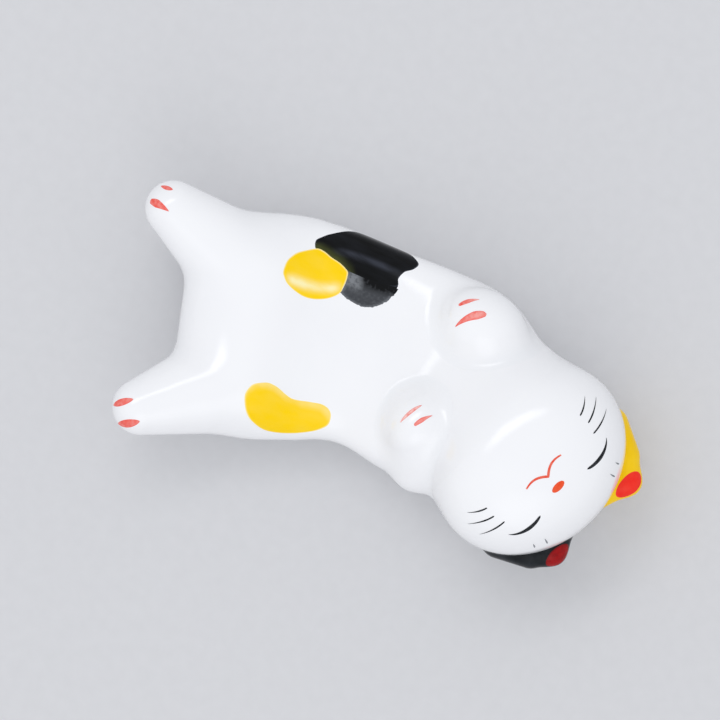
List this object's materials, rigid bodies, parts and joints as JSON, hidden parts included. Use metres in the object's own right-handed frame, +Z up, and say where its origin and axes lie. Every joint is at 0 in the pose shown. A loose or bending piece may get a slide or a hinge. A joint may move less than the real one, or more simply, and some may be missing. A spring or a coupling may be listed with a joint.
{
  "type": "chopstick rest",
  "caption": "Glazed porcelain chopstick rest shaped as a calico cat asleep on its back; chopsticks lie across the low belly between raised paws and feet, flat base.",
  "frame": {"origin": "centre of the bounding box's bottom face, on the table under the cat", "axes": "+X along the middle of the back towards the head, +Y towards the cat's right side, +Z up from the table"},
  "size_m": [0.066, 0.0338, 0.019],
  "materials": {
    "white_glaze": "glossy clear glaze over white porcelain, bare and matt on the flat base",
    "yellow_enamel": "glossy hand-painted enamel",
    "black_enamel": "glossy hand-painted enamel",
    "grey_enamel": "glossy thin wash of black enamel",
    "red_enamel": "glossy hand-painted enamel",
    "dark_red_enamel": "glossy red enamel over black",
    "salmon_enamel": "glossy watery hand-painted enamel",
    "black_line": "glossy enamel line of a fine brush"
  },
  "bodies": {
    "root": {"torso": "white_glaze", "head": "white_glaze", "right_hind_leg": "white_glaze", "left_hind_leg": "white_glaze", "right_foreleg": "white_glaze", "left_foreleg": "white_glaze", "right_ear": "yellow_enamel", "left_ear": "black_enamel", "yellow_belly_spot": "yellow_enamel", "yellow_flank_patch": "yellow_enamel", "black_flank_patch": "black_enamel", "grey_wash_patch": "grey_enamel", "right_inner_ear": "red_enamel", "left_inner_ear": "dark_red_enamel", "right_eye": "black_line", "left_eye": "black_line", "nose": "red_enamel", "mouth": "red_enamel", "right_whiskers": "black_line", "left_whiskers": "black_line", "right_brow_strokes": "black_line", "left_brow_strokes": "black_line", "right_paw_strokes": "salmon_enamel", "left_paw_strokes": "salmon_enamel", "right_foot_strokes": "salmon_enamel", "left_foot_strokes": "salmon_enamel"}
  },
  "joints": []
}
